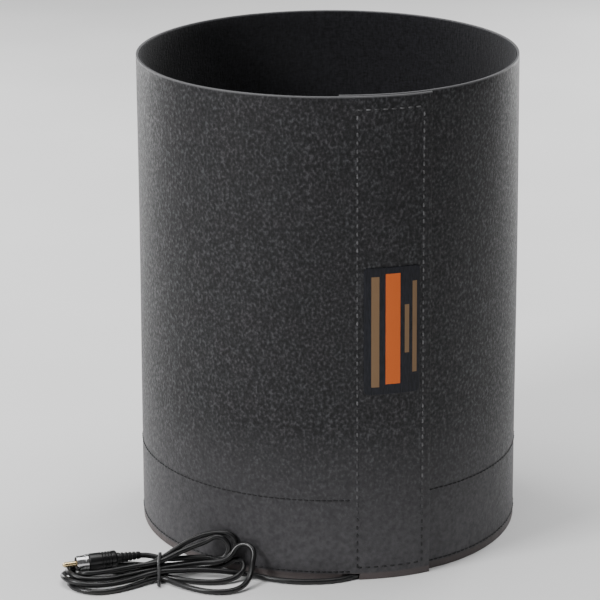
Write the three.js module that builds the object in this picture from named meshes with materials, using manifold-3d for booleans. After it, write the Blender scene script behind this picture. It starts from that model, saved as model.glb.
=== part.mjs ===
// Heated dew shield: a sheet rolled into an open tube, closed by a hook and loop
// overlap, with a heater sewn into a pocket round its foot and a lead that ends
// in a phono plug. Millimetres, +Z up, origin at the middle of the foot.

import * as THREE from 'three';
import { mergeVertices } from 'three/addons/utils/BufferGeometryUtils.js';
import Module from 'manifold-3d';

const wasm = await Module();
wasm.setup();

// Driving sizes of the rolled sheet
const height = 302;
const topRadius = 118;
const footRadius = 119.4;
const sheetThickness = 1.6;
const liningThickness = 1.2;
const stripThickness = 0.9;
const layerGap = 0.1;
const facetAngle = 4;

// Overlap, in degrees round the tube from the front towards +X
const flapEdgeAngle = 30.2;
const innerEndAngle = 3.2;
const flapLift = 3.2;
const flapRiseAngle = 30;
const tuckAngle = 12;

// Hook and loop strips on the overlap
const stripStartAngle = 7.5;
const stripEndAngle = 28.5;
const stripFootMargin = 7;
const stripTopMargin = 2;

// Heater pocket, sewn to the inside round the foot
const pocketSeamHeight = 52;
const hemSeamHeight = 5.5;
const pocketHemWidth = 3;
const pocketThickness = 1.0;
const pocketSlack = 5.5;
const seamPinch = 0.25;
const ribbonWidth = 22;
const ribbonThickness = 0.8;
const ribbonBottom = 17;

// Sewing thread
const threadWidth = 0.8;
const threadThickness = 0.4;
const stripSeamStartAngle = 8.3;
const stripSeamEndAngle = 27.6;
const stripSeamMargin = 8;

// Label between the two upright seams
const labelStartAngle = 10.1;
const labelEndAngle = 26.45;
const labelBottom = 119.3;
const labelTop = 198.2;
const labelThickness = 0.5;

// Lead, hank, tie and plug
const cordDiameter = 3.4;
const cordSides = 8;
const touchGap = 0.3;
const jointDiameter = 4.4;
const jointLength = 12;
const jointGap = 0.6;
const hankLowHeight = 6.8;
const hankHighHeight = 14;
const tieWidth = 2;
const tieThickness = 1;
const tieTailLength = 7;
const tieTailDiameter = 2.2;
const plugLength = 48.8;
const plugBodyDiameter = 10;
const plugBodyLength = 17.6;
const plugRingDiameter = 9;
const plugRingLength = 7.6;
const plugRingWall = 0.6;
const pinDiameter = 3.2;
const pinProud = 8.6;

const liningDepth = sheetThickness + layerGap;
const liningInner = liningDepth + liningThickness;
const hookDepth = sheetThickness + layerGap;
const loopDepth = hookDepth + stripThickness + layerGap;
const layerStep = loopDepth + stripThickness + layerGap;
const innerEnd = innerEndAngle - 360;
const radians = THREE.MathUtils.degToRad;

const shield = new THREE.Group();

function addPiece(name, geometry, color, roughness, metalness = 0, parent = shield) {
  const material = new THREE.MeshStandardMaterial({ color, roughness, metalness });
  const mesh = new THREE.Mesh(geometry, material);
  mesh.name = name;
  parent.add(mesh);
  return mesh;
}

function toSolid(geometry) {
  const bare = geometry.clone();
  bare.deleteAttribute('normal');
  bare.deleteAttribute('uv');
  const merged = mergeVertices(bare, 1e-4);
  return new wasm.Manifold(new wasm.Mesh({
    numProp: 3,
    vertProperties: new Float32Array(merged.attributes.position.array),
    triVerts: new Uint32Array(merged.index.array),
  }));
}

function toGeometry(solid) {
  const mesh = solid.getMesh();
  const geometry = new THREE.BufferGeometry();
  geometry.setAttribute('position', new THREE.BufferAttribute(mesh.vertProperties, 3));
  geometry.setIndex(new THREE.BufferAttribute(mesh.triVerts, 1));
  geometry.computeVertexNormals();
  return geometry;
}

// Outer surface of the rolled sheet. The angle runs from the inner end, a full
// turn back under the flap, to the flap's free edge.

function flapRise(angle) {
  return flapLift * THREE.MathUtils.smoothstep(angle, 0, flapRiseAngle);
}

function layerOffset(angle) {
  const turned = angle + 360;
  if (turned <= flapEdgeAngle) return flapRise(turned) - layerStep;
  const edgeOffset = flapRise(flapEdgeAngle) - layerStep;
  const eased = THREE.MathUtils.smoothstep(turned, flapEdgeAngle, flapEdgeAngle + tuckAngle);
  return edgeOffset * (1 - eased) + flapRise(angle);
}

function seamDip(z) {
  const seams = [hemSeamHeight, pocketSeamHeight];
  const reach = 6;
  const away = Math.min(...seams.map((seam) => Math.abs(z - seam)));
  return seamPinch * Math.max(0, 1 - away / reach);
}

function sheetRadius(angle, z) {
  const taper = footRadius + (topRadius - footRadius) * (z / height);
  return taper + layerOffset(angle) - seamDip(z);
}

const gridAngles = [];
for (let angle = innerEnd; angle < flapEdgeAngle; angle += facetAngle) gridAngles.push(angle);
gridAngles.push(flapEdgeAngle);
const gridLevels = [0, hemSeamHeight, hemSeamHeight + 6, pocketSeamHeight - 6,
  pocketSeamHeight, pocketSeamHeight + 6, height];

function cellOf(values, value) {
  let cell = 0;
  while (cell < values.length - 2 && values[cell + 1] <= value) cell += 1;
  return cell;
}

function gridPoint(angle, z, depth) {
  const radius = sheetRadius(angle, z) - depth;
  return new THREE.Vector3(radius * Math.sin(radians(angle)), -radius * Math.cos(radians(angle)), z);
}

// A point at a depth under the sheet's outer facets, so that layers nest
function sheetPoint(angle, z, depth) {
  const a = cellOf(gridAngles, angle);
  const b = cellOf(gridLevels, z);
  const across = (angle - gridAngles[a]) / (gridAngles[a + 1] - gridAngles[a]);
  const up = (z - gridLevels[b]) / (gridLevels[b + 1] - gridLevels[b]);
  const low = gridPoint(gridAngles[a], gridLevels[b], depth)
    .lerp(gridPoint(gridAngles[a + 1], gridLevels[b], depth), across);
  const high = gridPoint(gridAngles[a], gridLevels[b + 1], depth)
    .lerp(gridPoint(gridAngles[a + 1], gridLevels[b + 1], depth), across);
  return low.lerp(high, up);
}

function between(values, from, to) {
  const margin = 0.05;
  return [from, ...values.filter((value) => value > from + margin && value < to - margin), to];
}

// A flat strip, cut from a box, bent onto the rolled sheet. The depths of its
// outer and inner face are under the sheet's outer surface and may vary with z.
function bentStrip({ from, to, bottom, top, outer, inner, levels = gridLevels }) {
  const angles = between(gridAngles, from, to);
  const heights = between(levels, bottom, top);
  const columns = angles.length - 1;
  const rows = heights.length - 1;
  const geometry = new THREE.BoxGeometry(1, 1, 1, columns, rows, 1);
  const position = geometry.attributes.position;
  for (let i = 0; i < position.count; i += 1) {
    const angle = angles[Math.round((position.getX(i) + 0.5) * columns)];
    const z = heights[Math.round((position.getY(i) + 0.5) * rows)];
    const face = position.getZ(i) > 0 ? outer : inner;
    const depth = typeof face === 'function' ? face(z) : face;
    const point = sheetPoint(angle, z, depth);
    position.setXYZ(i, point.x, point.y, point.z);
  }
  geometry.computeVertexNormals();
  return geometry;
}

// Route of the lead: from the joint in the pocket, out under the hem, along the foot
const tailRoute = [[14.1, -118.4, 1.95], [20.5, -115.2, 2.4], [27.5, -111.8, 4.6],
  [35, -108.4, 9], [43, -105.2, 13.6], [50.9, -101.5, 15]];
const leadRoute = [[13.8, -118.6, 1.9], [9, -121.2, 1.8], [3, -123.4, 1.75], [-4, -124.8, 1.75],
  [-12, -125.3, 1.75], [-21, -124.9, 1.75], [-30, -122.9, 1.75], [-38, -119.9, 1.9],
  [-45.4, -116.6, 2.6]];

function toVectors(points) {
  return points.map(([x, y, z]) => new THREE.Vector3(x, y, z));
}

function tube(points, diameter, stepsPerPoint = 2) {
  const path = new THREE.CatmullRomCurve3(points);
  const section = new THREE.Shape();
  for (let i = 0; i < cordSides; i += 1) {
    const turn = (2 * Math.PI * (i + 0.5)) / cordSides;
    const x = (diameter / 2) * Math.cos(turn);
    const y = (diameter / 2) * Math.sin(turn);
    if (i === 0) section.moveTo(x, y);
    else section.lineTo(x, y);
  }
  return new THREE.ExtrudeGeometry(section, {
    steps: (points.length - 1) * stepsPerPoint, extrudePath: path, bevelEnabled: false,
  });
}

// The way that the lead needs through both layers: a notch in the hem, then a bore
const leadClearance = 0.5;
const notchHeight = cordDiameter + 2 * leadClearance;

function leadWay() {
  const bore = toSolid(tube(toVectors([leadRoute[2], leadRoute[1], ...tailRoute]),
    cordDiameter + 2 * leadClearance));
  const plan = [leadRoute[2], leadRoute[1], ...tailRoute.slice(0, 3)];
  const halfWidth = cordDiameter / 2 + leadClearance;
  const sides = plan.map(([x, y], i) => {
    const before = plan[Math.max(i - 1, 0)];
    const after = plan[Math.min(i + 1, plan.length - 1)];
    const along = new THREE.Vector2(after[0] - before[0], after[1] - before[1]).normalize();
    return { x, y, nx: -along.y * halfWidth, ny: along.x * halfWidth };
  });
  const outline = [...sides.map((s) => new THREE.Vector2(s.x + s.nx, s.y + s.ny)),
    ...sides.reverse().map((s) => new THREE.Vector2(s.x - s.nx, s.y - s.ny))];
  const notch = new THREE.ExtrudeGeometry(new THREE.Shape(outline), {
    depth: notchHeight + 1, bevelEnabled: false,
  });
  notch.translate(0, 0, -1);
  return toSolid(notch).add(bore);
}

const wayOfLead = leadWay();

function withLeadWay(geometry) {
  return toGeometry(toSolid(geometry).subtract(wayOfLead));
}

// Rolled sheet and its felt lining
const endMargin = 0.4;

addPiece('outer_sheet', withLeadWay(bentStrip({
  from: innerEnd, to: flapEdgeAngle, bottom: 0, top: height, outer: 0, inner: sheetThickness,
})), 0x2b2c2f, 0.78);

addPiece('felt_lining', withLeadWay(bentStrip({
  from: innerEnd + endMargin, to: stripStartAngle - endMargin, bottom: endMargin,
  top: height - endMargin, outer: liningDepth, inner: liningInner,
})), 0x141416, 1);

// Hook strip under the flap, loop strip on the inner end
const stripSpan = { bottom: stripFootMargin, top: height - stripTopMargin };

addPiece('hook_strip', bentStrip({
  ...stripSpan, from: stripStartAngle, to: stripEndAngle,
  outer: hookDepth, inner: hookDepth + stripThickness,
}), 0x1a1a1b, 0.95);

addPiece('loop_strip', bentStrip({
  ...stripSpan, from: stripStartAngle - 360, to: stripEndAngle - 360,
  outer: -(stripThickness + layerGap), inner: -layerGap,
}), 0x1c1c1d, 1);

// Heater pocket: a band of cloth with slack between its two seams
const pocketLevels = [hemSeamHeight, 10, 14, 42, 48, pocketSeamHeight];
const pocketShares = [0, 0.8, 1, 1, 0.55, 0];

function pocketDepth(z) {
  const shut = liningInner + layerGap;
  if (z <= pocketLevels[0] || z >= pocketSeamHeight) return shut;
  const cell = cellOf(pocketLevels, z);
  const share = (z - pocketLevels[cell]) / (pocketLevels[cell + 1] - pocketLevels[cell]);
  return shut + pocketSlack * THREE.MathUtils.lerp(pocketShares[cell], pocketShares[cell + 1], share);
}

const pocketStart = innerEnd + 1;
const pocketEnd = innerEndAngle - 2;

addPiece('heater_pocket', withLeadWay(bentStrip({
  from: pocketStart, to: pocketEnd, bottom: endMargin, top: pocketSeamHeight + pocketHemWidth,
  outer: pocketDepth, inner: (z) => pocketDepth(z) + pocketThickness,
  levels: [...pocketLevels, gridLevels[3]].sort((a, b) => a - b),
})), 0x17171a, 0.9);

// Heating ribbon in the pocket, its crimped joint, and the lead's tail that meets it
const jointStart = new THREE.Vector3(...tailRoute[tailRoute.length - 1]);
const jointRadius = Math.hypot(jointStart.x, jointStart.y);
const jointSweep = 2 * Math.asin(jointLength / 2 / jointRadius);
const jointTurn = Math.atan2(jointStart.x, -jointStart.y);
const jointEnd = new THREE.Vector3(
  jointRadius * Math.sin(jointTurn + jointSweep),
  -jointRadius * Math.cos(jointTurn + jointSweep),
  jointStart.z,
);
const ribbonDepth = liningInner + layerGap;
const ribbonStart = THREE.MathUtils.radToDeg(jointTurn + jointSweep) + 0.5 - 360;
const ribbonStop = pocketEnd - 8;

addPiece('heating_ribbon', bentStrip({
  from: ribbonStart, to: ribbonStop, bottom: ribbonBottom, top: ribbonBottom + ribbonWidth,
  outer: ribbonDepth, inner: ribbonDepth + ribbonThickness,
}), 0xb8763a, 0.5, 0.4);

function pipe(start, end, diameter, sides = 16) {
  const length = start.distanceTo(end);
  const geometry = new THREE.CylinderGeometry(diameter / 2, diameter / 2, length, sides);
  const turn = new THREE.Quaternion().setFromUnitVectors(
    new THREE.Vector3(0, 1, 0), end.clone().sub(start).normalize(),
  );
  geometry.applyQuaternion(turn);
  const middle = start.clone().lerp(end, 0.5);
  return geometry.translate(middle.x, middle.y, middle.z);
}

const jointFace = jointStart.clone().lerp(jointEnd, jointGap / jointLength);
addPiece('crimp_joint', pipe(jointFace, jointEnd, jointDiameter), 0x9a9da0, 0.35, 0.9);
addPiece('lead_tail', tube(toVectors(tailRoute), cordDiameter), 0x121213, 0.45);

// Seams: thread laid in straight bands of stitches
const threadOuter = -(layerGap + threadThickness);
const seamGap = 0.6;

function seamRound(level, from, to) {
  return bentStrip({
    from, to, bottom: level - threadWidth / 2, top: level + threadWidth / 2,
    outer: threadOuter, inner: -layerGap,
  });
}

const roundSeamStart = flapEdgeAngle + 1 - 360;
const roundSeamEnd = stripSeamStartAngle - seamGap;
addPiece('pocket_seam', seamRound(pocketSeamHeight, roundSeamStart, roundSeamEnd), 0x0c0c0d, 0.7);
addPiece('hem_seam', seamRound(hemSeamHeight, roundSeamStart, roundSeamEnd), 0x0c0c0d, 0.7);

function stripSeam() {
  const threadAngle = THREE.MathUtils.radToDeg(threadWidth / footRadius);
  const span = { from: stripSeamStartAngle, to: stripSeamEndAngle };
  const levels = { bottom: stripSeamMargin, top: height - stripSeamMargin };
  const depths = { outer: threadOuter, inner: -layerGap };
  const bars = [
    { ...span, bottom: levels.bottom, top: levels.bottom + threadWidth },
    { ...span, bottom: levels.top - threadWidth, top: levels.top },
    { from: span.from, to: span.from + threadAngle, ...levels },
    { from: span.to - threadAngle, to: span.to, ...levels },
  ];
  const solids = bars.map((bar) => toSolid(bentStrip({ ...bar, ...depths })));
  return toGeometry(solids.reduce((whole, solid) => whole.add(solid)));
}

addPiece('strip_seam', stripSeam(), 0x77797c, 0.7);

// Woven label, blank
addPiece('label_patch', bentStrip({
  from: labelStartAngle, to: labelEndAngle, bottom: labelBottom, top: labelTop,
  outer: -(layerGap + labelThickness), inner: -layerGap,
}), 0x0b0b10, 0.4);

// Free lead, then the hank that holds the rest of it
addPiece('cord_lead', tube(toVectors(leadRoute), cordDiameter), 0x121213, 0.4);

const wallClearance = 1.6;
const hankWallRadius = footRadius + wallClearance;
const hankRight = -46.8;
const waistX = -103;
const waistFront = -124;
const waistBack = -105.2;
const waistStart = -114.4;

function hankOutline() {
  const wallTurn = (x) => -Math.acos(x / hankWallRadius);
  const outline = new THREE.Shape();
  outline.moveTo(waistX, waistFront);
  outline.splineThru([[-114, -131], [-127, -141], [-141, -145.5], [-154, -141.5], [-163, -131],
    [-163.5, -118], [-155, -108], [-140, -103], [-122, -103.4], [waistX, waistBack]]
    .map(([x, y]) => new THREE.Vector2(x, y)));
  outline.splineThru([[-92, -100.6], [-82, -hankWallRadius * Math.sin(Math.acos(82 / hankWallRadius))]]
    .map(([x, y]) => new THREE.Vector2(x, y)));
  outline.absarc(0, 0, hankWallRadius, wallTurn(-82), wallTurn(hankRight), false);
  outline.splineThru([[-47.6, -126], [-51.4, -135.5], [-61, -141.8], [-75, -140], [-90, -131.4],
    [waistX, waistFront]].map(([x, y]) => new THREE.Vector2(x, y)));
  return outline;
}

function slab(shape, depth) {
  return new THREE.ExtrudeGeometry(shape, { depth, bevelEnabled: false, curveSegments: 5 });
}

function box(minimum, maximum) {
  const size = maximum.map((value, i) => value - minimum[i]);
  const geometry = new THREE.BoxGeometry(...size);
  return geometry.translate(...minimum.map((value, i) => value + size[i] / 2));
}

const tieTop = hankHighHeight - touchGap;
const tieInner = [waistFront + 1.2, waistBack - 1.2];

function hank() {
  const whole = toSolid(slab(hankOutline(), hankHighHeight));
  const overPlug = toSolid(box([-200, -160, hankLowHeight], [waistStart, -90, hankHighHeight + 1]));
  const slot = tieWidth / 2 + touchGap;
  const groove = toSolid(box([waistX - slot, -160, -1], [waistX + slot, -90, hankHighHeight + 1]));
  const core = toSolid(box(
    [waistX - slot, tieInner[0] + touchGap, tieThickness + 2 * touchGap],
    [waistX + slot, tieInner[1] - touchGap, tieTop - tieThickness - touchGap],
  ));
  return toGeometry(whole.subtract(overPlug).subtract(groove.subtract(core)));
}

addPiece('cord_hank', hank(), 0x161617, 0.45);

// Twist tie: a flat band round the hank's waist with its ends twisted together
function twistTie() {
  const outer = toSolid(box(
    [waistX - tieWidth / 2, tieInner[0] - tieThickness, touchGap],
    [waistX + tieWidth / 2, tieInner[1] + tieThickness, tieTop],
  ));
  const inner = toSolid(box(
    [waistX - tieWidth, tieInner[0], touchGap + tieThickness],
    [waistX + tieWidth, tieInner[1], tieTop - tieThickness],
  ));
  const tailStart = new THREE.Vector3(waistX, tieInner[0] - tieThickness / 2, 2.6);
  const tailEnd = new THREE.Vector3(waistX, tieInner[0] - tieTailLength, 2.2);
  return toGeometry(outer.subtract(inner).add(toSolid(pipe(tailStart, tailEnd, tieTailDiameter, 8))));
}

addPiece('twist_tie', twistTie(), 0x8d8f90, 0.5);

// Phono plug on the hank, built along its own axis from the pin's tip
const plug = new THREE.Group();
const plugTip = new THREE.Vector3(-161.5, -124, hankLowHeight + touchGap + plugBodyDiameter / 2);
const plugHeading = radians(18.8);
plug.position.copy(plugTip);
plug.rotation.z = plugHeading;
shield.add(plug);

const ringStart = pinProud;
const bodyStart = ringStart + plugRingLength;
const bodyEnd = bodyStart + plugBodyLength;
const reliefStart = bodyEnd + touchGap;

function turned(profile, segments = 24) {
  const points = profile.map(([along, radius]) => new THREE.Vector2(radius, along));
  const geometry = new THREE.LatheGeometry(points, segments);
  return geometry.rotateZ(-Math.PI / 2);
}

const pinRadius = pinDiameter / 2;
addPiece('plug_pin', turned([[0, 0], [0.25, pinRadius * 0.55], [1.1, pinRadius * 0.92],
  [1.8, pinRadius], [bodyStart - touchGap, pinRadius], [bodyStart - touchGap, 0]]), 0xc9b48a, 0.25, 1, plug);

const ringOuter = plugRingDiameter / 2;
const ringInner = ringOuter - plugRingWall;

function contactRing() {
  const ring = toSolid(turned([[ringStart, ringInner], [ringStart, ringOuter - 0.25],
    [ringStart + 0.6, ringOuter], [bodyStart - 1.6, ringOuter], [bodyStart - 1.6, ringOuter + 0.4],
    [bodyStart - touchGap, ringOuter + 0.4], [bodyStart - touchGap, ringInner], [ringStart, ringInner]]));
  const slotLength = plugRingLength - 2.4;
  const slots = [0, 1].map((i) => {
    const cut = new THREE.BoxGeometry(slotLength, plugRingDiameter + 2, 0.8);
    cut.translate(ringStart + slotLength / 2 - 0.1, 0, 0).rotateX((i * Math.PI) / 2 + Math.PI / 4);
    return toSolid(cut);
  });
  return toGeometry(slots.reduce((rest, cut) => rest.subtract(cut), ring));
}

addPiece('plug_contact_ring', contactRing(), 0xb9bcc0, 0.22, 1, plug);

const insulatorStart = bodyStart - 3.4;
addPiece('plug_insulator', turned([[insulatorStart, pinRadius + 0.2], [insulatorStart, ringInner - 0.2],
  [bodyStart - touchGap, ringInner - 0.2], [bodyStart - touchGap, pinRadius + 0.2],
  [insulatorStart, pinRadius + 0.2]]), 0xd9d6cc, 0.5, 0, plug);

function bodyProfile() {
  const radius = plugBodyDiameter / 2;
  const groove = 0.45;
  const profile = [[bodyStart, 0], [bodyStart, radius - 0.5], [bodyStart + 0.5, radius]];
  const firstGroove = bodyStart + plugBodyLength * 0.45;
  for (let i = 0; i < 4; i += 1) {
    const at = firstGroove + i * 1.8;
    profile.push([at, radius], [at + 0.2, radius - groove], [at + 0.7, radius - groove], [at + 0.9, radius]);
  }
  profile.push([bodyEnd - 1.2, radius], [bodyEnd, radius - 1.1], [bodyEnd, 0]);
  return profile;
}

addPiece('plug_body', turned(bodyProfile()), 0x17171a, 0.5, 0, plug);

function reliefProfile() {
  const first = 3.4;
  const last = 2.3;
  const ribs = 4;
  const length = plugLength - reliefStart;
  const profile = [[reliefStart, 0], [reliefStart, first]];
  for (let i = 1; i <= ribs; i += 1) {
    const at = reliefStart + (length * i) / (ribs + 1);
    const radius = THREE.MathUtils.lerp(first, last, i / (ribs + 1));
    profile.push([at - 0.5, radius], [at - 0.3, radius - 0.5], [at + 0.3, radius - 0.5], [at + 0.5, radius]);
  }
  profile.push([plugLength, last], [plugLength, 0]);
  return profile;
}

addPiece('plug_strain_relief', turned(reliefProfile(), 16), 0x131315, 0.55, 0, plug);

export default shield;
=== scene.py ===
import math

import bmesh
import bpy
import numpy as np
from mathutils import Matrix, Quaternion, Vector


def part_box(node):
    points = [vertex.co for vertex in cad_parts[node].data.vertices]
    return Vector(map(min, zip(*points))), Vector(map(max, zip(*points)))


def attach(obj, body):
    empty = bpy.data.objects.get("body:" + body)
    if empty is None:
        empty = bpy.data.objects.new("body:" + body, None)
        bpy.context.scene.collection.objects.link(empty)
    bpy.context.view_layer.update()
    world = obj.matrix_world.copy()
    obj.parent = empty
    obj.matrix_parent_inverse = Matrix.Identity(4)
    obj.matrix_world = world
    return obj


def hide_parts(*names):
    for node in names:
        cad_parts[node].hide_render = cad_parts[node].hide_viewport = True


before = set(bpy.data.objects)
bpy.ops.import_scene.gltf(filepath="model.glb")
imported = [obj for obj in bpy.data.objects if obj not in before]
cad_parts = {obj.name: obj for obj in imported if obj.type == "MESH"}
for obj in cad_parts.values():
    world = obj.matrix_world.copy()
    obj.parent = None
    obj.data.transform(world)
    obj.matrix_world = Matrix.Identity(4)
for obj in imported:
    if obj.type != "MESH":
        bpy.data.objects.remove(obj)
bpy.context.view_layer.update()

MM = 0.001

# Rolled sheet, in millimetres and degrees, as in the part's source
foot_box_low, foot_box_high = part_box("outer_sheet")
HEIGHT = foot_box_high.z / MM
FOOT_RADIUS = -foot_box_low.x / MM
FOOT_FLARE = 1.4
TOP_RADIUS = FOOT_RADIUS - FOOT_FLARE
SHEET_THICKNESS = 1.6
LINING_THICKNESS = 1.2
STRIP_THICKNESS = 0.9
LAYER_GAP = 0.1
FLAP_EDGE = 30.2
INNER_END = 3.2 - 360
FLAP_LIFT = 3.2
FLAP_RISE_ANGLE = 30
TUCK_ANGLE = 12
STRIP_START, STRIP_END = 7.5, 28.5
STRIP_BOTTOM, STRIP_TOP = 7, HEIGHT - 2
POCKET_SEAM, HEM_SEAM = 52, 5.5
POCKET_HEM = 3
POCKET_THICKNESS = 1.0
POCKET_SLACK = 5.5
POCKET_START, POCKET_END = INNER_END + 1, INNER_END - 2 + 360
LINING_MARGIN = 0.4
SEAM_PINCH, SEAM_REACH = 0.25, 6
STRIP_SEAM_START, STRIP_SEAM_END = 8.3, 27.6
STRIP_SEAM_MARGIN = 8
LABEL_START, LABEL_END = 10.1, 26.45
LABEL_BOTTOM, LABEL_TOP = 119.3, 198.2
LABEL_THICKNESS = 0.5
LABEL_CORNER = 2.6
SHEET_ROUNDING = 0.22

LINING_DEPTH = SHEET_THICKNESS + LAYER_GAP
LINING_INNER = LINING_DEPTH + LINING_THICKNESS
LOOP_DEPTH = LINING_DEPTH + STRIP_THICKNESS + LAYER_GAP
LAYER_STEP = LOOP_DEPTH + STRIP_THICKNESS + LAYER_GAP

# Bars on the label as shares of its width and height: left, right, low, high and kind
LABEL_BARS = [(0.13, 0.27, 0.06, 0.93, "thin"), (0.38, 0.64, 0.08, 0.95, "bold"),
              (0.72, 0.80, 0.32, 0.70, "thin"), (0.86, 0.94, 0.16, 0.88, "thin")]

# Heights with close rows of points, along the seams, and the pocket's fullness between them
SEAM_LEVELS = [1.5, 3, 4.5, HEM_SEAM, 6.5, 8, 10, 12, 15, 20, 30, 40, 46, 48.5, 50.5, POCKET_SEAM,
               53.5, 55.5, 58, 61]
POCKET_LEVELS = np.array([HEM_SEAM, 10, 14, 42, 48, POCKET_SEAM])
POCKET_SHARES = np.array([0, 0.8, 1, 1, 0.55, 0])

# Stitches, each with its pitch, length and width, and how deep their ends sink
UPRIGHT_STITCH = (5.0, 2.4, 1.15)
SHORT_ROW_STITCH = (5.0, 2.9, 1.0)
FOOT_STITCH = (3.6, 3.1, 0.8)
STITCH_SINK, STITCH_ARCH = 0.45, 0.72

# Lead, tie and plug
CORD = 3.4
CORD_STEP = 1.8
BEND_RADIUS = 7.4
LEAD_CLEARANCE = 0.5
NOTCH_RUN_LEVEL, NOTCH_TOP = 3.4, 3.9
TIE_X = -103
TIE_WIDTH = 2.0
PLUG_TIP = (-161.5, -124, 12.1)
PLUG_HEADING = math.radians(18.8)
PLUG_LENGTH = 48.8

LEAD_ROUTE = [(13.8, -118.6, 1.9), (9, -121.2, 1.8), (3, -123.4, 1.75), (-4, -124.8, 1.75),
              (-12, -125.3, 1.75), (-21, -124.9, 1.75), (-30, -122.9, 1.75),
              (-38, -119.9, 1.9), (-45.4, -116.6, 2.6)]
TAIL_ROUTE = [(14.1, -118.4, 1.95), (20.5, -115.2, 2.4), (27.5, -111.8, 4.6), (35, -108.4, 9)]

# Lay of the strands: the distances kept, and the share of each push in one try
LAY_TRIES = 360
STRAND_SPACING = CORD * 1.03
SAME_STRAND = 5
FLOOR_GAP, WALL_GAP = 0.03, 0.4
PIN_REACH, RING_REACH, BODY_REACH, RELIEF_REACH = 1.8, 4.9, 5.2, 3.5
STRAND_PUSH, PLUG_PUSH, BEND_PUSH = 0.32, 0.4, 0.3
FIRST_EASING, LAST_EASING = 0.28, 0.12
ROUTE_PULL = 0.008
TIE_FREEDOM = 0.15
LARGEST_MOVE = 0.8

# Camera fitted to the photo's rim, sides and foot, in metres and radians
CAMERA_LENS, SENSOR_WIDTH = 168.3, 36
CAMERA_PLACE = (0, -1.68883, 0.69254)
CAMERA_PITCH = math.radians(90 - 18.10)
CAMERA_YAW = math.radians(0.606)
CAMERA_ROLL = -0.0050

# Studio, in metres and watts; each box has its place, target, size and power
FLOOR_REACH = 4.0
WORLD_STRENGTH = 0.11
LIGHT_BOXES = [("left_box", (-1.15, 1.15, 0.5), (0, 0, 0.15), (0.8, 1.0), 17),
               ("right_box", (0.95, 1.4, 0.5), (0, 0, 0.15), (0.7, 1.0), 18),
               ("front_box", (-1.6, -1.15, 1.3), (0, 0, 0.1), (0.7, 0.7), 38),
               ("top_box", (0, 0.1, 2.2), (0, 0, 0), (2.0, 1.4), 44)]


def smoothstep(value, low, high):
    t = np.clip((value - low) / (high - low), 0, 1)
    return t * t * (3 - 2 * t)


# Surface of the rolled sheet

def flap_rise(angle):
    return FLAP_LIFT * smoothstep(angle, 0, FLAP_RISE_ANGLE)


def layer_offset(angle):
    turned = angle + 360
    under_flap = flap_rise(turned) - LAYER_STEP
    eased = smoothstep(turned, FLAP_EDGE, FLAP_EDGE + TUCK_ANGLE)
    edge_offset = flap_rise(FLAP_EDGE) - LAYER_STEP
    past_flap = edge_offset * (1 - eased) + flap_rise(angle)
    return np.where(turned <= FLAP_EDGE, under_flap, past_flap)


def seam_dip(z):
    away = np.minimum(np.abs(z - HEM_SEAM), np.abs(z - POCKET_SEAM))
    return SEAM_PINCH * np.clip(1 - away / SEAM_REACH, 0, 1)


def ripple(angle, z):
    """Slight waves of a sewn sheet: long ones all over, short ones along the seams."""
    turn = np.radians(angle)
    long_wave = 0.16 * np.sin(3 * turn + z / 60) + 0.1 * np.sin(7 * turn - z / 43 + 1.3)
    near_seam = np.exp(-((z - POCKET_SEAM) / 5) ** 2) + np.exp(-((z - HEM_SEAM) / 4) ** 2)
    short_wave = 0.09 * np.sin(61 * turn) + 0.06 * np.sin(97 * turn + 0.7)
    return long_wave + near_seam * short_wave


def sheet_radius(angle, z):
    taper = FOOT_RADIUS + (TOP_RADIUS - FOOT_RADIUS) * z / HEIGHT
    return taper + layer_offset(angle) - seam_dip(z) + ripple(angle, z)


def sheet_point(angle, z, depth):
    """A point in metres at a depth under the sheet's outer face."""
    radius = (sheet_radius(angle, z) - depth) * MM
    turn = np.radians(angle)
    return np.stack([radius * np.sin(turn), -radius * np.cos(turn), z * MM + 0 * turn], axis=-1)


# Mesh making
EDGE_SHARES = (0, 0.12, 0.4, 1)
CLOSEST_SHARE = 0.05


def add_object(name, verts, faces, material, smooth=True):
    mesh = bpy.data.meshes.new(name)
    mesh.from_pydata([tuple(map(float, v)) for v in verts], [], faces)
    mesh.validate()
    if smooth:
        mesh.shade_smooth()
    obj = bpy.data.objects.new(name, mesh)
    bpy.context.scene.collection.objects.link(obj)
    obj.data.materials.append(material)
    return obj


def settle(obj, slot, *nodes):
    """The piece rides on the root and stands for its nodes; the slot is not used."""
    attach(obj, "root")
    if nodes:
        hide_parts(*nodes)
    return obj


def mended(obj):
    """The object with its faces turned outwards."""
    shape = bmesh.new()
    shape.from_mesh(obj.data)
    bmesh.ops.recalc_face_normals(shape, faces=shape.faces)
    shape.to_mesh(obj.data)
    shape.free()
    return obj


def spaced(low, high, step, edge, extra=()):
    """Values from low to high with close ones at both ends, where an edge is rounded."""
    close = [share * edge for share in EDGE_SHARES]
    inner = list(np.linspace(low + edge, high - edge, max(2, round((high - low) / step))))
    values = [low + c for c in close] + inner + [high - c for c in close] + list(extra)
    values = sorted(v for v in values if low <= v <= high)
    kept = [values[0]]
    for value in values[1:]:
        if value - kept[-1] > CLOSEST_SHARE * edge:
            kept.append(value)
    return np.array(kept)


def rounded_inset(away, edge):
    """How far a face steps back at this distance from the rim of a rounded edge."""
    left = np.clip(edge - away, 0, edge)
    return edge - np.sqrt(np.maximum(edge * edge - left * left, 0))


def face_depth(face, z):
    """A face's depth at a height; the face is a number or a function of height."""
    return face(z) if callable(face) else face


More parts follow.
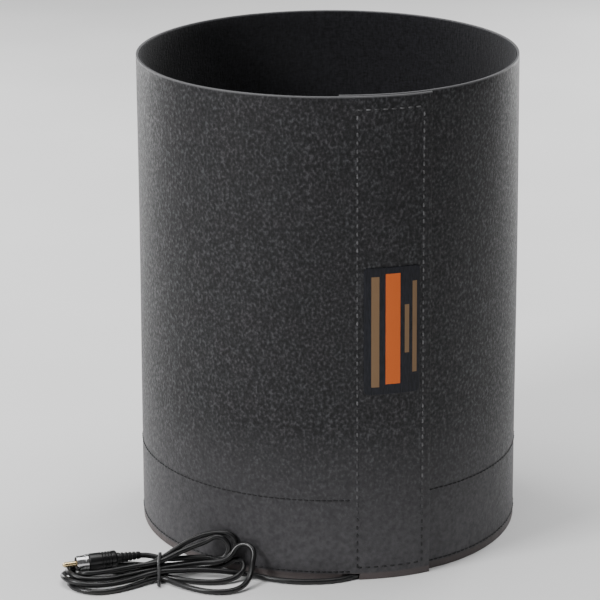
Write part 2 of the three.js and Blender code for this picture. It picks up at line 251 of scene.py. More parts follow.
def bent_sheet(name, material, start, end, bottom, top, outer, inner,
               angle_step=1.0, level_step=6.0, levels=(), corner=0.0, rounding=0.48):
    """A closed flat piece with rounded edges, bent onto the rolled sheet."""
    ends = np.array([bottom, top])
    thickness = float(np.min(face_depth(inner, ends) - face_depth(outer, ends)))
    edge = rounding * thickness
    per_degree = math.radians(1) * FOOT_RADIUS
    angles = spaced(start, end, angle_step, edge / per_degree)
    heights = spaced(bottom, top, level_step, edge, levels)
    share = (angles - start) / (end - start)
    grid_z = np.repeat(heights[:, None], len(angles), axis=1)
    from_end = np.minimum(grid_z - bottom, top - grid_z)
    corner_inset = 0.0
    if corner:
        left = np.clip(corner - from_end, 0, corner)
        corner_inset = (corner - np.sqrt(np.maximum(corner ** 2 - left ** 2, 0))) / per_degree
    low = start + corner_inset
    high = end - corner_inset
    grid_angle = low + (high - low) * share[None, :] + 0 * grid_z
    side_away = np.minimum(grid_angle - low, high - grid_angle) * per_degree
    inset = rounded_inset(np.minimum(side_away, from_end), edge)
    rows, columns = grid_z.shape
    front = sheet_point(grid_angle, grid_z, face_depth(outer, grid_z) + inset).reshape(-1, 3)
    back = sheet_point(grid_angle, grid_z, face_depth(inner, grid_z) - inset).reshape(-1, 3)
    count = rows * columns
    faces = []
    for r in range(rows - 1):
        for c in range(columns - 1):
            a = r * columns + c
            faces.append((a, a + 1, a + columns + 1, a + columns))
            faces.append((count + a, count + a + columns, count + a + columns + 1, count + a + 1))
    rim = [r * columns for r in range(rows - 1, 0, -1)] + list(range(columns))
    rim += [r * columns + columns - 1 for r in range(1, rows)]
    rim += [(rows - 1) * columns + c for c in range(columns - 2, -1, -1)]
    for a, b in zip(rim, rim[1:] + rim[:1]):
        faces.append((b, a, count + a, count + b))
    obj = add_object(name, np.vstack([front, back]), faces, material)
    layer = obj.data.uv_layers.new(name="UVMap")
    across = np.tile(share, rows)
    up = np.repeat((heights - bottom) / (top - bottom), columns)
    for loop in obj.data.loops:
        i = loop.vertex_index % count
        layer.data[loop.index].uv = (across[i], up[i])
    return mended(obj)


def curve_points(points, step):
    """Points at an even step along a smooth curve through the given ones."""
    p = np.asarray(points, float)
    p = np.vstack([2 * p[0] - p[1], p, 2 * p[-1] - p[-2]])
    fine = []
    for i in range(1, len(p) - 2):
        for t in np.linspace(0, 1, 24, endpoint=False):
            fine.append(0.5 * (2 * p[i] + (p[i + 1] - p[i - 1]) * t
                               + (2 * p[i - 1] - 5 * p[i] + 4 * p[i + 1] - p[i + 2]) * t ** 2
                               + (3 * p[i] - p[i - 1] - 3 * p[i + 1] + p[i + 2]) * t ** 3))
    fine.append(p[-2])
    fine = np.array(fine)
    run = np.concatenate([[0], np.cumsum(np.linalg.norm(np.diff(fine, axis=0), axis=1))])
    at = np.linspace(0, run[-1], max(2, round(run[-1] / step)) + 1)
    return np.stack([np.interp(at, run, fine[:, k]) for k in range(3)], axis=1)


def tube_mesh(points, radius, sides=12):
    """Vertices and faces of a closed tube along points; radius is one value or one a point."""
    p = np.asarray(points, float)
    radii = np.broadcast_to(radius, (len(p),))
    tangent = np.gradient(p, axis=0)
    tangent /= np.linalg.norm(tangent, axis=1)[:, None]
    normal = np.cross(tangent[0], (0.1, 0.2, 1.0))
    normal /= np.linalg.norm(normal)
    verts, faces = [], []
    for i in range(len(p)):
        normal = normal - tangent[i] * (normal @ tangent[i])
        normal /= np.linalg.norm(normal)
        side = np.cross(tangent[i], normal)
        for k in range(sides):
            turn = 2 * math.pi * k / sides
            verts.append(p[i] + radii[i] * (math.cos(turn) * normal + math.sin(turn) * side))
    for i in range(len(p) - 1):
        for k in range(sides):
            a, b = i * sides + k, i * sides + (k + 1) % sides
            faces.append((a, b, b + sides, a + sides))
    faces.append(tuple(range(sides - 1, -1, -1)))
    faces.append(tuple((len(p) - 1) * sides + k for k in range(sides)))
    return verts, faces


def cut_lead_way(*pieces):
    """A bore and a notch for the lead through the foot of each piece."""
    half_width = CORD / 2 + LEAD_CLEARANCE
    line = curve_points([LEAD_ROUTE[2], LEAD_ROUTE[1], *TAIL_ROUTE], 1.5) * MM
    verts, faces = tube_mesh(line, half_width * MM, 16)
    cutters = [mended(add_object("bore_cutter", verts, faces, materials["sheet"]))]
    plan = line[line[:, 2] < NOTCH_RUN_LEVEL * MM]
    along = np.gradient(plan, axis=0)
    across = np.stack([-along[:, 1], along[:, 0]], axis=1)
    across *= (half_width * MM) / np.linalg.norm(across, axis=1)[:, None]
    verts, faces = [], []
    for i, (point, side) in enumerate(zip(plan, across)):
        for sign, level in ((1, -1), (-1, -1), (-1, NOTCH_TOP), (1, NOTCH_TOP)):
            verts.append((point[0] + sign * side[0], point[1] + sign * side[1], level * MM))
        if i:
            a = 4 * (i - 1)
            faces += [(a + k, a + (k + 1) % 4, a + 4 + (k + 1) % 4, a + 4 + k) for k in range(4)]
    faces += [(3, 2, 1, 0), tuple(len(verts) - 4 + k for k in range(4))]
    cutters.append(mended(add_object("notch_cutter", verts, faces, materials["sheet"], False)))
    for piece in pieces:
        for cutter in cutters:
            modifier = piece.modifiers.new("cut", "BOOLEAN")
            modifier.operation = "DIFFERENCE"
            modifier.solver = "EXACT"
            modifier.object = cutter
        bpy.context.view_layer.update()
        shaped = piece.evaluated_get(bpy.context.evaluated_depsgraph_get())
        mesh = bpy.data.meshes.new_from_object(shaped)
        piece.modifiers.clear()
        piece.data = mesh
    for cutter in cutters:
        bpy.data.objects.remove(cutter)


# Materials

def new_material(name, color, roughness, metallic=0.0):
    material = bpy.data.materials.new(name)
    material.use_nodes = True
    shader = material.node_tree.nodes["Principled BSDF"]
    shader.inputs["Base Color"].default_value = (*color, 1)
    shader.inputs["Roughness"].default_value = roughness
    shader.inputs["Metallic"].default_value = metallic
    return material, material.node_tree, shader


def noise(tree, scale, detail=3.0, stretch=(1, 1, 1)):
    """A noise texture on the piece's own coordinates, in metres."""
    coordinates = tree.nodes.new("ShaderNodeTexCoord")
    mapping = tree.nodes.new("ShaderNodeMapping")
    mapping.inputs["Scale"].default_value = stretch
    texture = tree.nodes.new("ShaderNodeTexNoise")
    texture.inputs["Scale"].default_value = scale
    texture.inputs["Detail"].default_value = detail
    tree.links.new(coordinates.outputs["Object"], mapping.inputs["Vector"])
    tree.links.new(mapping.outputs["Vector"], texture.inputs["Vector"])
    return texture.outputs["Fac"]


def ramp(tree, value, stops):
    """Colours at positions along a value."""
    node = tree.nodes.new("ShaderNodeValToRGB")
    elements = node.color_ramp.elements
    while len(elements) < len(stops):
        elements.new(0.5)
    for element, (position, color) in zip(elements, stops):
        element.position = position
        element.color = (*color, 1)
    tree.links.new(value, node.inputs["Fac"])
    return node.outputs["Color"]


def mix(tree, factor, first, second, blend="MIX"):
    """Two colours mixed; each value is a number, a colour or a node's output."""
    node = tree.nodes.new("ShaderNodeMix")
    node.data_type = "RGBA"
    node.blend_type = blend
    factor_socket, first_socket, second_socket = node.inputs[0], node.inputs[6], node.inputs[7]
    for socket, value in ((factor_socket, factor), (first_socket, first), (second_socket, second)):
        if isinstance(value, (int, float)):
            socket.default_value = value
        elif isinstance(value, tuple):
            socket.default_value = (*value, 1)
        else:
            tree.links.new(value, socket)
    return node.outputs[2]


def bump(tree, shader, height, distance, strength=1.0):
    node = tree.nodes.new("ShaderNodeBump")
    node.inputs["Strength"].default_value = strength
    node.inputs["Distance"].default_value = distance
    tree.links.new(height, node.inputs["Height"])
    tree.links.new(node.outputs["Normal"], shader.inputs["Normal"])


def math_node(tree, operation, first, second=0.0, third=None):
    node = tree.nodes.new("ShaderNodeMath")
    node.operation = operation
    for socket, value in zip(node.inputs, (first, second, third)):
        if value is None:
            continue
        if isinstance(value, (int, float)):
            socket.default_value = value
        else:
            tree.links.new(value, socket)
    return node.outputs[0]


def height_share(tree, low, high):
    """0 at one height of the piece and 1 at the other, in metres."""
    coordinates = tree.nodes.new("ShaderNodeTexCoord")
    split = tree.nodes.new("ShaderNodeSeparateXYZ")
    node = tree.nodes.new("ShaderNodeMapRange")
    node.inputs["From Min"].default_value = low
    node.inputs["From Max"].default_value = high
    tree.links.new(coordinates.outputs["Object"], split.inputs["Vector"])
    tree.links.new(split.outputs["Z"], node.inputs["Value"])
    return node.outputs["Result"]


def sheet_material():
    """Mottled charcoal plastic with a fine grain, calmer near the foot and painted paler there as
    painted fill light from below.
    """
    material, tree, shader = new_material("sheet_plastic", (0.03, 0.03, 0.032), 0.5)
    blotches = noise(tree, 600, 6.0, (1, 1, 0.8))
    grain = ramp(tree, blotches, [(0.34, (0.003, 0.0031, 0.0036)), (0.47, (0.009, 0.0091, 0.01)),
                                  (0.56, (0.019, 0.0192, 0.0204)), (0.67, (0.05, 0.05, 0.0525))])
    tint = ramp(tree, noise(tree, 60, 2.0),
                [(0.35, (0.96, 0.98, 1.04)), (0.65, (1.04, 0.96, 1.04))])
    tinted = mix(tree, 0.7, grain, tint, "MULTIPLY")
    # Calmer grain near the foot, with a paler colour that is painted fill light: it stands in for
    # light reaching the lower wall from below.
    calm_grain_painted_fill = ramp(tree, noise(tree, 300, 2.0),
                [(0.3, (0.042, 0.0405, 0.0445)), (0.7, (0.07, 0.068, 0.0725))])
    # Share of the painted fill light, rising from 100 mm down to 15 mm above the floor.
    foot = height_share(tree, 0.1, 0.015)
    cut_rim = height_share(tree, 0.3008, 0.3017)
    worn_hem = height_share(tree, 0.0048, 0.0036)
    color = mix(tree, worn_hem, mix(tree, foot, tinted, calm_grain_painted_fill), (0.085, 0.071, 0.07))
    color = mix(tree, cut_rim, color, (0.12, 0.12, 0.125))
    tree.links.new(color, shader.inputs["Base Color"])
    rough = ramp(tree, blotches, [(0.3, (0.6, 0.6, 0.6)), (0.7, (0.4, 0.4, 0.4))])
    shader.inputs["Specular IOR Level"].default_value = 0.32
    tree.links.new(rough, shader.inputs["Roughness"])
    bump(tree, shader, math_node(tree, "ADD", blotches, noise(tree, 1500, 2.0)), 0.00022, 0.8)
    return material


def felt_material(name, color, scale=900):
    """Matt fibres in short crossing strands."""
    material, tree, shader = new_material(name, color, 1.0)
    upright = noise(tree, scale, 5.0, (1, 1, 0.3))
    level = noise(tree, scale, 5.0, (0.4, 0.4, 1))
    fibres = math_node(tree, "ADD", upright, level)
    darker = tuple(0.45 * c for c in color)
    lighter = tuple(1.7 * c for c in color)
    tree.links.new(ramp(tree, math_node(tree, "MULTIPLY", fibres, 0.5),
                        [(0.35, darker), (0.65, lighter)]), shader.inputs["Base Color"])
    shader.inputs["Specular IOR Level"].default_value = 0.12
    shader.inputs["Sheen Weight"].default_value = 0.12
    shader.inputs["Sheen Roughness"].default_value = 0.6
    bump(tree, shader, fibres, 0.0004, 0.9)
    return material


def cloth_material():
    """Plain woven cloth: threads across and along."""
    material, tree, shader = new_material("pocket_cloth", (0.012, 0.012, 0.014), 0.85)
    coordinates = tree.nodes.new("ShaderNodeTexCoord")
    waves = []
    for direction in ("X", "Z"):
        wave = tree.nodes.new("ShaderNodeTexWave")
        wave.bands_direction = direction
        wave.inputs["Scale"].default_value = 320
        wave.inputs["Distortion"].default_value = 0.6
        tree.links.new(coordinates.outputs["Object"], wave.inputs["Vector"])
        waves.append(wave.outputs["Fac"])
    weave = math_node(tree, "MAXIMUM", waves[0], waves[1])
    tree.links.new(ramp(tree, weave, [(0.2, (0.005, 0.005, 0.006)), (0.9, (0.02, 0.02, 0.023))]),
                   shader.inputs["Base Color"])
    bump(tree, shader, weave, 0.0002, 0.7)
    return material


def speckled(name, color, roughness, metallic=0.0, scale=700, contrast=0.25, depth=0.00005,
             stretch=(1, 1, 1)):
    """Moulded or turned surface with faint unevenness in colour and polish."""
    material, tree, shader = new_material(name, color, roughness, metallic)
    grain = noise(tree, scale, 3.0, stretch)
    dark = tuple(c * (1 - contrast) for c in color)
    light = tuple(c * (1 + contrast) for c in color)
    tree.links.new(ramp(tree, grain, [(0.35, dark), (0.65, light)]), shader.inputs["Base Color"])
    low, high = roughness * 0.85, min(1.0, roughness * 1.2)
    tree.links.new(ramp(tree, grain, [(0.3, (low,) * 3), (0.7, (high,) * 3)]),
                   shader.inputs["Roughness"])
    bump(tree, shader, grain, depth, 0.6)
    return material


def seam_thread():
    """Grey thread with uneven tone, darker low down."""
    material, tree, shader = new_material("grey_thread", (0.07, 0.07, 0.075), 0.65)
    tone = ramp(tree, noise(tree, 160, 3.0),
                [(0.35, (0.03, 0.03, 0.032)), (0.65, (0.115, 0.115, 0.12))])
    low = height_share(tree, 0.055, 0.035)
    tree.links.new(mix(tree, low, tone, (0.012, 0.012, 0.013)), shader.inputs["Base Color"])
    bump(tree, shader, noise(tree, 2500, 2.0), 0.0001, 0.6)
    return material


def label_material():
    """Black satin with generic upright bars, a bold one and three thin ones."""
    material, tree, shader = new_material("label_cloth", (0.008, 0.009, 0.014), 0.42)
    uv = tree.nodes.new("ShaderNodeUVMap")
    uv.uv_map = "UVMap"
    split = tree.nodes.new("ShaderNodeSeparateXYZ")
    tree.links.new(uv.outputs["UV"], split.inputs["Vector"])
    threads = noise(tree, 1500, 2.0, (1, 1, 0.15))
    color = ramp(tree, threads, [(0.35, (0.003, 0.0035, 0.006)), (0.65, (0.011, 0.012, 0.018))])
    orange, tan = (0.62, 0.12, 0.015), (0.2, 0.12, 0.06)
    for left, right, low, high, ink in LABEL_BARS:
        inside = None
        for axis, edge, other in (("X", left, right), ("Y", low, high)):
            for sign, value in (("GREATER_THAN", edge), ("LESS_THAN", other)):
                test = math_node(tree, sign, split.outputs[axis], value)
                inside = test if inside is None else math_node(tree, "MULTIPLY", inside, test)
        color = mix(tree, inside, color, orange if ink == "bold" else tan)
    tree.links.new(color, shader.inputs["Base Color"])
    shader.inputs["Specular IOR Level"].default_value = 0.25
    bump(tree, shader, threads, 0.00008, 0.7)
    return material


def make_materials():
    return {
        "sheet": sheet_material(),
        "felt": felt_material("lining_felt", (0.012, 0.012, 0.0145)),
        "hook": felt_material("hook_tape", (0.011, 0.011, 0.012), 1600),
        "loop": felt_material("loop_tape", (0.012, 0.012, 0.013), 1200),
        "cloth": cloth_material(),
        "ribbon": speckled("heater_tape", (0.45, 0.2, 0.06), 0.45, 0.5, 500, 0.2),
        "crimp": speckled("crimp_metal", (0.42, 0.42, 0.43), 0.32, 1.0, 900, 0.15),
        "jacket": speckled("cord_jacket", (0.0075, 0.0075, 0.008), 0.31, 0.0, 260, 0.3, 0.00004),
        "dark_thread": speckled("dark_thread", (0.006, 0.006, 0.007), 0.7, 0.0, 2500, 0.4, 0.0001),
        "grey_thread": seam_thread(),
        "label": label_material(),
        "tie": speckled("tie_plastic", (0.05, 0.05, 0.052), 0.3, 0.0, 900, 0.2),
        "pin": speckled("pin_metal", (0.66, 0.52, 0.3), 0.24, 1.0, 600, 0.12),
        "nickel": speckled("plug_nickel", (0.6, 0.6, 0.61), 0.22, 1.0, 600, 0.12),
        "insulator": speckled("insulator_plastic", (0.6, 0.57, 0.5), 0.5, 0.0, 800, 0.1),
        "plug": speckled("plug_plastic", (0.005, 0.005, 0.0055), 0.34, 0.0, 900, 0.3, 0.00004),
    }


materials = make_materials()


# Camera and lights

def make_camera():
    camera = bpy.data.objects.new("camera", bpy.data.cameras.new("camera"))
    bpy.context.scene.collection.objects.link(camera)
    camera.data.lens = CAMERA_LENS
    camera.data.sensor_width = SENSOR_WIDTH
    camera.location = CAMERA_PLACE
    camera.rotation_mode = "QUATERNION"
    camera.rotation_quaternion = (Quaternion((0, 0, 1), CAMERA_YAW)
                                  @ Quaternion((1, 0, 0), CAMERA_PITCH)
                                  @ Quaternion((0, 0, 1), CAMERA_ROLL))
    bpy.context.scene.camera = camera


def area_light(name, place, target, size, power):
    light = bpy.data.lights.new(name, "AREA")
    light.shape = "RECTANGLE"
    light.size, light.size_y = size
    light.energy = power
    obj = bpy.data.objects.new(name, light)
    bpy.context.scene.collection.objects.link(obj)
    obj.location = place
    obj.rotation_mode = "QUATERNION"
    obj.rotation_quaternion = (Vector(target) - Vector(place)).to_track_quat("-Z", "Y")


def make_stage():
    """A pale floor, a white world and the light boxes."""
    reach = FLOOR_REACH
    corners = [(-reach, -reach, 0), (reach, -reach, 0), (reach, reach, 0), (-reach, reach, 0)]
    material, tree, shader = new_material("floor_paper", (0.9, 0.9, 0.9), 0.8)
    tone = ramp(tree, noise(tree, 6, 1.0), [(0.3, (0.88, 0.88, 0.88)), (0.7, (0.92, 0.92, 0.92))])
    tree.links.new(tone, shader.inputs["Base Color"])
    floor = add_object("floor", corners, [(0, 1, 2, 3)], material, False)
    world = bpy.data.worlds.new("studio")
    bpy.context.scene.world = world
    world.use_nodes = True
    background = world.node_tree.nodes["Background"]
    background.inputs["Color"].default_value = (1, 1, 1, 1)
    background.inputs["Strength"].default_value = WORLD_STRENGTH
    for box in LIGHT_BOXES:
        area_light(*box)


make_camera()
make_stage()


# Cord: the lead, the hank's bends through listed points, then an even lay of its strands
TIE_COLUMNS = (-120.6, -117.0, -113.4, -109.8)
TIE_ROWS = (3.1, 6.7, 10.3)


def tied(column, row):
    return (TIE_X, TIE_COLUMNS[column], TIE_ROWS[row])


HANK_ROUTE = [
    # first run, along the foot's front to the tie
    (-52, -117.2, 4.2), (-64.7, -119, 6.1), (-77.2, -119.4, 7.2), (-90, -119.8, 6.9), tied(0, 1),
    # first left bend
    (-112, -123.5, 5.2), (-123.4, -130.3, 3.9), (-135, -135.4, 3.8), (-146, -136.3, 4.2),
    (-156, -133.2, 5.2), (-162, -125.5, 5.5), (-161, -116, 3.6), (-153, -107.5, 1.9),
    (-140, -103.6, 1.75), (-125, -104, 1.75), (-112, -108, 2.2), tied(2, 0),
    # low right bend, its far side hidden behind the others
    (-92, -109, 2.0), (-80, -106.5, 1.9), (-68, -107, 3.2), (-59, -108.6, 7.5),
    (-53.5, -110.5, 11.5), (-51.2, -114, 9.6), (-53, -119.2, 4.4), (-59.5, -124, 2.3),
    (-69.5, -127, 1.9),
    (-84.7, -125, 2.0), (-96, -121, 2.6), tied(1, 0),
    # second left bend, the lowest
    (-113, -112.8, 1.8), (-127, -108.3, 1.75), (-140, -108, 1.75), (-151, -112, 1.75),
    (-157.5, -120, 1.75), (-157.5, -129.5, 1.75), (-150.7, -137.4, 1.75), (-139.5, -141.6, 1.75),
    (-126.9, -137.4, 1.75), (-115.6, -129.6, 2.0), tied(0, 0),
    # wide right bend, low in front and high against the wall
    (-95, -126.5, 2.3), (-84.2, -134.5, 1.9), (-72, -140.5, 1.8), (-60, -140.8, 1.9),
    (-51.6, -136, 2.8), (-47.6, -128.5, 5.5), (-46.6, -121, 12), (-47.6, -114.4, 19.5),
    (-51, -110.5, 22.8), (-54.3, -111.4, 18.5), (-58.5, -112.6, 13.0), (-66.5, -112.2, 9.8),
    (-77, -111.6, 8.3), (-89, -113.8, 7.6), tied(1, 1),
    # third left bend
    (-112, -118.6, 5.9), (-121, -122.6, 5.2), (-131.5, -128.6, 5.1), (-142, -130.6, 5.4),
    (-152.5, -129, 6.4), (-159.4, -122.6, 8.0), (-157.5, -113.5, 6.2), (-147, -106.8, 5.2),
    (-132, -104.9, 5.2), (-117, -107.4, 5.5), tied(2, 1),
    # high right bend, the topmost
    (-90, -109, 6.4), (-76, -107, 7.2), (-63.5, -107.4, 10.6), (-57.4, -108.2, 14),
    (-54.8, -108.4, 18), (-56, -107.4, 22.4), (-60.5, -105.5, 24.8), (-68.5, -103.8, 25.2),
    (-80, -104, 22.8),
    (-92, -108, 17.2), tied(2, 2),
    # fourth left bend, under the plug and out in front of it
    (-110, -113.2, 7.6), (-119, -112.8, 5.2), (-132, -111.6, 5.2), (-143, -113, 5.2),
    (-151.6, -116.8, 6.4), (-154.8, -122.4, 8.0), (-151, -127, 8.2), (-142.6, -127.2, 8.2),
    (-134, -124.6, 8.4), (-123.5, -119.8, 8.6), (-113, -117.6, 9.4), tied(1, 2),
    # last right bend, back over the tie and into the plug
    (-93, -112.6, 14.8), (-82, -108.6, 18.2), (-71, -107.4, 20.4), (-62.4, -108.8, 20.8),
    (-57.6, -110.4, 18.4), (-59, -110.6, 14.8), (-66, -109.4, 12.6), (-78, -108.6, 11.4),
    (-91, -110.2, 10.4), tied(3, 2), (-109.4, -106.9, 12.0),
]


def plug_point(along):
    return np.array([PLUG_TIP[0] + along * math.cos(PLUG_HEADING),
                     PLUG_TIP[1] + along * math.sin(PLUG_HEADING), PLUG_TIP[2]])


def laid(points, fixed_run):
    """The strands moved apart until none touches another, the floor, the wall or the plug."""
    start = points.copy()
    p = points.copy()
    count = len(p)
    order = np.arange(count)
    apart = np.abs(order[:, None] - order[None, :]) > SAME_STRAND
    held = np.zeros(count, bool)
    held[:fixed_run] = True
    held[-3:] = True
    at_tie = np.abs(p[:, 0] - TIE_X) < 1.2
    plug_parts = [(plug_point(a), BODY_REACH if a > 16 else (RING_REACH if a > 8.6 else PIN_REACH))
                  for a in np.arange(1, 34, 1.5)]
    plug_parts += [(plug_point(a), RELIEF_REACH) for a in np.arange(34.5, 45, 1.5)]
    centres = np.array([c for c, _ in plug_parts])
    radii = np.array([r for _, r in plug_parts]) + CORD / 2
    near_plug = np.ones(count, bool)
    near_plug[-6:] = False
    for attempt in range(LAY_TRIES):
        gap = p[:, None, :] - p[None, :, :]
        away = np.linalg.norm(gap, axis=2) + 1e-9
        lacking = np.where(apart, np.clip(STRAND_SPACING - away, 0, None), 0)
        push = (gap * (lacking / away)[:, :, None]).sum(axis=1) * STRAND_PUSH
        from_plug = p[:, None, :] - centres[None, :, :]
        plug_away = np.linalg.norm(from_plug, axis=2) + 1e-9
        lacking = np.clip(radii[None, :] - plug_away, 0, None) * near_plug[:, None]
        off_plug = from_plug * (lacking / plug_away)[:, :, None]
        push += off_plug.max(axis=1, initial=0) * PLUG_PUSH
        push += off_plug.min(axis=1, initial=0) * PLUG_PUSH
        for reach in (2, 4, 6):
            arc = min(CORD_STEP * reach / BEND_RADIUS, math.pi / 2)
            chord = p[2 * reach:] - p[:-2 * reach]
            span = np.linalg.norm(chord, axis=1) + 1e-9
            short = np.clip(2 * BEND_RADIUS * math.sin(arc) - span, 0, None)
            spread = chord * (short / span * BEND_PUSH)[:, None]
            push[2 * reach:] += spread
            push[:-2 * reach] -= spread
        middle = p.copy()
        middle[1:-1] = (p[:-2] + p[2:]) / 2
        easing = FIRST_EASING if attempt < LAY_TRIES * 0.75 else LAST_EASING
        move = push + (middle - p) * easing + (start - p) * ROUTE_PULL
        move[held] = 0
        move[at_tie] *= TIE_FREEDOM
        p += np.clip(move, -LARGEST_MOVE, LARGEST_MOVE)
        p[:, 2] = np.where(held, p[:, 2], np.maximum(p[:, 2], CORD / 2 + FLOOR_GAP))
        flat = np.hypot(p[:, 0], p[:, 1])
        least = FOOT_RADIUS + CORD / 2 + WALL_GAP - FOOT_FLARE * p[:, 2] / HEIGHT
        scale = np.where((flat < least) & ~held, least / flat, 1)
        p[:, :2] *= scale[:, None]
    return p


def make_cord():
    """The cord and its centre line; the lead itself and the end in the plug stay where they are."""
    lead = curve_points(LEAD_ROUTE, CORD_STEP)
    whole = curve_points([*LEAD_ROUTE, *HANK_ROUTE, tuple(plug_point(PLUG_LENGTH)),
                          tuple(plug_point(PLUG_LENGTH - 5))], CORD_STEP)
    line = laid(whole, len(lead) - 4) * MM
    curve = bpy.data.curves.new("lead_cord", "CURVE")
    curve.dimensions = "3D"
    curve.bevel_depth = CORD / 2 * MM
    curve.bevel_resolution = 4
    curve.use_fill_caps = True
    spline = curve.splines.new("POLY")
    spline.points.add(len(line) - 1)
    for point, place in zip(spline.points, line):
        point.co = (*place, 1)
    spline.use_smooth = True
    cord = bpy.data.objects.new("lead_cord", curve)
    bpy.context.scene.collection.objects.link(cord)
    curve.materials.append(materials["jacket"])
    return settle(cord, "cord_jacket", "cord_lead", "cord_hank"), line


lead_cord, cord_line = make_cord()


# Tie: a flat band round the strands where they cross it, its ends twisted together

def make_tie(line):
    inside = np.abs(line[:, 0] - TIE_X * MM) < TIE_WIDTH * MM
    margin = (CORD / 2 + 0.15) * MM
    low = line[inside].min(axis=0) - margin
    high = line[inside].max(axis=0) + margin
    band, corner = 0.7 * MM, 2.2 * MM
    twist_radius, end_radius = 0.55 * MM, 0.62 * MM
    low[2] = max(low[2], band + 0.1 * MM)
    ring = []
    for quarter, (y, z) in enumerate(((high[1], high[2]), (low[1], high[2]), (low[1], low[2]),
                                      (high[1], low[2]))):
        sy, sz = (1 if quarter in (0, 3) else -1), (1 if quarter in (0, 1) else -1)
        centre = (y - sy * corner, z - sz * corner)
        for k in range(7):
            turn = math.pi / 2 * (quarter + k / 6)
            ring.append((centre, (math.cos(turn), math.sin(turn))))
    verts, faces = [], []
    half = TIE_WIDTH / 2 * MM
    for centre, (cy, cz) in ring:
        for side, reach in ((-half, 0), (half, 0), (half * 0.8, band), (-half * 0.8, band)):
            verts.append((TIE_X * MM + side, centre[0] + (corner + reach) * cy,
                          centre[1] + (corner + reach) * cz))
    count = len(ring)
    for i in range(count):
        a, b = 4 * i, 4 * ((i + 1) % count)
        faces += [(a + k, a + (k + 1) % 4, b + (k + 1) % 4, b + k) for k in range(4)]
    root = np.array([TIE_X * MM, low[1] - band, low[2] + 1.6 * MM])
    tip = root + np.array([0.4, -6.2, -0.7]) * MM
    for strand in (0, math.pi):
        twist = [root + (tip - root) * t
                 + twist_radius * np.array([math.cos(strand + 9 * t), 0, math.sin(strand + 9 * t)])
                 for t in np.linspace(-0.08, 1, 26)]
        more, more_faces = tube_mesh(twist, end_radius, 8)
        faces += [tuple(i + len(verts) for i in face) for face in more_faces]
        verts += more
    tie = mended(add_object("tie_band", verts, faces, materials["tie"]))
    return settle(tie, "tie_plastic", "twist_tie")


tie_band = make_tie(cord_line)


# Plug, turned about its own axis

def turned(name, material, profile, slot, node, segments=48):
    """A profile of distances from the tip and radii, turned about the plug's axis."""
    verts, faces = [], []
    rings = []
    for along, radius in profile:
        if radius < 1e-6:
            rings.append([len(verts)])
            verts.append((along * MM, 0, 0))
            continue
        rings.append(list(range(len(verts), len(verts) + segments)))
        for k in range(segments):
            turn = 2 * math.pi * k / segments
            verts.append((along * MM, radius * MM * math.cos(turn), radius * MM * math.sin(turn)))
    for first, second in zip(rings, rings[1:]):
        for k in range(segments):
            a, b = first[k % len(first)], first[(k + 1) % len(first)]
            c, d = second[(k + 1) % len(second)], second[k % len(second)]
            faces.append(tuple(dict.fromkeys((a, b, c, d))))
    obj = add_object(name, verts, [f for f in faces if len(f) > 2], material)
    obj.location = Vector(PLUG_TIP) * MM
    obj.rotation_euler = (0, 0, PLUG_HEADING)
    bpy.context.view_layer.update()
    obj.data.transform(obj.matrix_world)
    obj.location = (0, 0, 0)
    obj.rotation_euler = (0, 0, 0)
    mended(obj)
    obj.data.set_sharp_from_angle(angle=math.radians(35))
    return settle(obj, slot, node)


def arc_profile(centre, radius, start, end, steps):
    turns = [math.radians(t) for t in np.linspace(start, end, steps)]
    return [(centre[0] + radius * math.cos(turn), centre[1] + radius * math.sin(turn))
            for turn in turns]


def plug_pieces():
    pin = [(0, 0), (0.12, 0.5), (0.5, 1.0), (1.1, 1.42), (1.8, 1.6), (15.8, 1.6), (15.8, 0)]
    shell = [(8.6, 3.95), (8.62, 4.25), (9.2, 4.5), (14.2, 4.5), (14.3, 4.88), (15.8, 4.9),
             (15.8, 3.9), (12, 3.9), (8.6, 3.95)]
    core = [(12.8, 1.75), (12.8, 3.7), (15.8, 3.7), (15.8, 1.75), (12.8, 1.75)]
    body = [(16.2, 0), (16.2, 4.3), *arc_profile((16.9, 4.3), 0.7, 180, 90, 4), (24, 5.0)]
    for k in range(4):
        at = 24.1 + 1.8 * k
        body += [(at, 5.0), (at + 0.2, 4.6), (at + 0.7, 4.55), (at + 0.9, 5.0)]
    body += [*arc_profile((32.6, 3.8), 1.2, 90, 10, 5), (33.8, 0)]
    relief = [(34.1, 0), (34.1, 3.3), (34.4, 3.4)]
    for k in range(1, 6):
        at = 34.1 + 14.7 * k / 6
        radius = 3.4 - 1.1 * k / 6
        relief += [(at - 0.6, radius), (at - 0.35, radius - 0.5),
                   (at + 0.35, radius - 0.5), (at + 0.6, radius)]
    relief += [(48.4, 2.25), (48.8, 2.1), (48.8, 0)]
    pieces = (("plug_pin_turned", "pin", pin, "pin_metal", "plug_pin"),
              ("plug_ring_turned", "nickel", shell, "plug_nickel", "plug_contact_ring"),
              ("plug_insulator_turned", "insulator", core, "insulator_plastic", "plug_insulator"),
              ("plug_body_moulded", "plug", body, "plug_plastic", "plug_body"),
              ("plug_relief_moulded", "plug", relief, "plug_plastic", "plug_strain_relief"))
    return [turned(name, materials[finish], profile, slot, node)
            for name, finish, profile, slot, node in pieces]


plug = plug_pieces()


# The sheet, its lining, strips and pocket

def pocket_depth(z):
    return LINING_INNER + LAYER_GAP + POCKET_SLACK * np.interp(z, POCKET_LEVELS, POCKET_SHARES)


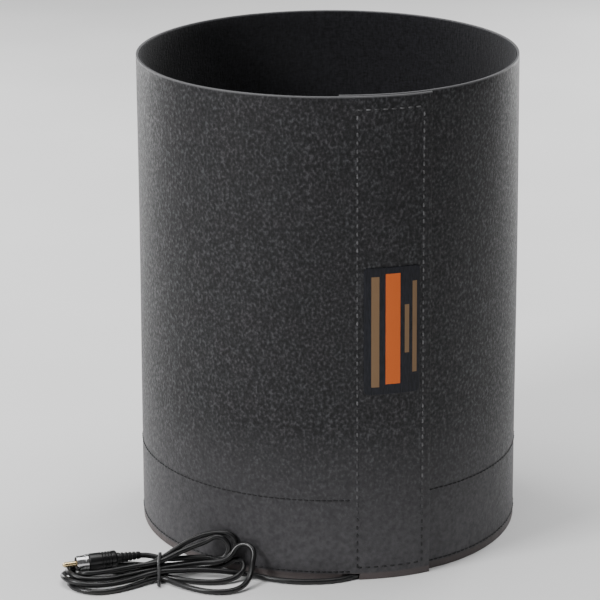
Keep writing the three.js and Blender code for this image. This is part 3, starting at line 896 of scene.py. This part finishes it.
def make_sheets():
    shell = bent_sheet("rolled_shell", materials["sheet"], INNER_END, FLAP_EDGE, 0, HEIGHT,
                       0, SHEET_THICKNESS, levels=SEAM_LEVELS, rounding=SHEET_ROUNDING)
    lining = bent_sheet("felt_sheet", materials["felt"], INNER_END + LINING_MARGIN,
                        STRIP_START - LINING_MARGIN, LINING_MARGIN, HEIGHT - LINING_MARGIN,
                        LINING_DEPTH, LINING_INNER, levels=SEAM_LEVELS)
    pocket = bent_sheet("pocket_band", materials["cloth"], POCKET_START, POCKET_END,
                        LINING_MARGIN, POCKET_SEAM + POCKET_HEM, pocket_depth,
                        lambda z: pocket_depth(z) + POCKET_THICKNESS,
                        level_step=3, levels=SEAM_LEVELS)
    cut_lead_way(shell, lining, pocket)
    hook = bent_sheet("hook_tape", materials["hook"], STRIP_START, STRIP_END,
                      STRIP_BOTTOM, STRIP_TOP, LINING_DEPTH, LINING_DEPTH + STRIP_THICKNESS)
    loop = bent_sheet("loop_tape", materials["loop"], STRIP_START - 360, STRIP_END - 360,
                      STRIP_BOTTOM, STRIP_TOP, -(STRIP_THICKNESS + LAYER_GAP), -LAYER_GAP)
    settle(shell, "sheet_plastic", "outer_sheet")
    settle(lining, "lining_felt", "felt_lining")
    settle(pocket, "pocket_cloth", "heater_pocket")
    settle(hook, "hook_tape", "hook_strip")
    settle(loop, "loop_tape", "loop_strip")


make_sheets()


# Stitches: short rounded lengths of thread that dip into the sheet at both ends

def stitch(angle_from, angle_to, z_from, z_to, width):
    """Vertices and faces of one stitch, thinner towards its sunken ends."""
    share = np.linspace(0, 1, 9)
    angle = angle_from + (angle_to - angle_from) * share
    z = z_from + (z_to - z_from) * share
    arch = np.sin(math.pi * share)
    points = sheet_point(angle, z, STITCH_SINK - STITCH_ARCH * arch ** 0.6)
    radius = width / 2 * MM * (0.62 + 0.38 * arch ** 0.5)
    return tube_mesh(points, radius, 8)


def stitched(name, material, stitches, slot, node):
    verts, faces = [], []
    for ends in stitches:
        more, more_faces = stitch(*ends)
        faces += [tuple(i + len(verts) for i in face) for face in more_faces]
        verts += more
    return settle(mended(add_object(name, verts, faces, material)), slot, node)


def row_up(angle, low, high, pitch, length, width):
    """Upright row of stitches at one angle."""
    starts = np.arange(low, high - length, pitch)
    return [(angle, angle, z, z + length, width) for z in starts]


def row_round(level, start, end, pitch, length, width):
    """Row of stitches round the tube at one level."""
    per_degree = math.radians(1) * FOOT_RADIUS
    starts = np.arange(start, end - length / per_degree, pitch / per_degree)
    return [(a, a + length / per_degree, level, level, width) for a in starts]


def make_seams():
    low, high = STRIP_SEAM_MARGIN, HEIGHT - STRIP_SEAM_MARGIN
    strip = row_up(STRIP_SEAM_START, low, high, *UPRIGHT_STITCH)
    strip += row_up(STRIP_SEAM_END, low, high, *UPRIGHT_STITCH)
    strip += row_round(low, STRIP_SEAM_START, STRIP_SEAM_END, *SHORT_ROW_STITCH)
    strip += row_round(high, STRIP_SEAM_START, STRIP_SEAM_END, *SHORT_ROW_STITCH)
    stitched("strip_stitches", materials["grey_thread"], strip, "grey_thread", "strip_seam")
    start, end = FLAP_EDGE + 1 - 360, STRIP_SEAM_START - 0.6
    for name, level, node in (("pocket_stitches", POCKET_SEAM, "pocket_seam"),
                              ("hem_stitches", HEM_SEAM, "hem_seam")):
        stitched(name, materials["dark_thread"], row_round(level, start, end, *FOOT_STITCH),
                 "dark_thread", node)


make_seams()


# The label, with close rows where its corners are rounded
corner_rows = [k * 0.3 for k in range(1, 10)]
label = bent_sheet("satin_label", materials["label"], LABEL_START, LABEL_END,
                   LABEL_BOTTOM, LABEL_TOP, -(LAYER_GAP + LABEL_THICKNESS), -LAYER_GAP,
                   angle_step=0.5, level_step=1.5, corner=LABEL_CORNER,
                   levels=[LABEL_BOTTOM + row for row in corner_rows]
                   + [LABEL_TOP - row for row in corner_rows])
settle(label, "label_cloth", "label_patch")


# The hidden heater keeps its solids, with their own finish
for node, finish in (("heating_ribbon", "ribbon"), ("crimp_joint", "crimp"),
                     ("lead_tail", "jacket")):
    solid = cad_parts[node]
    solid.data.materials.clear()
    solid.data.materials.append(materials[finish])
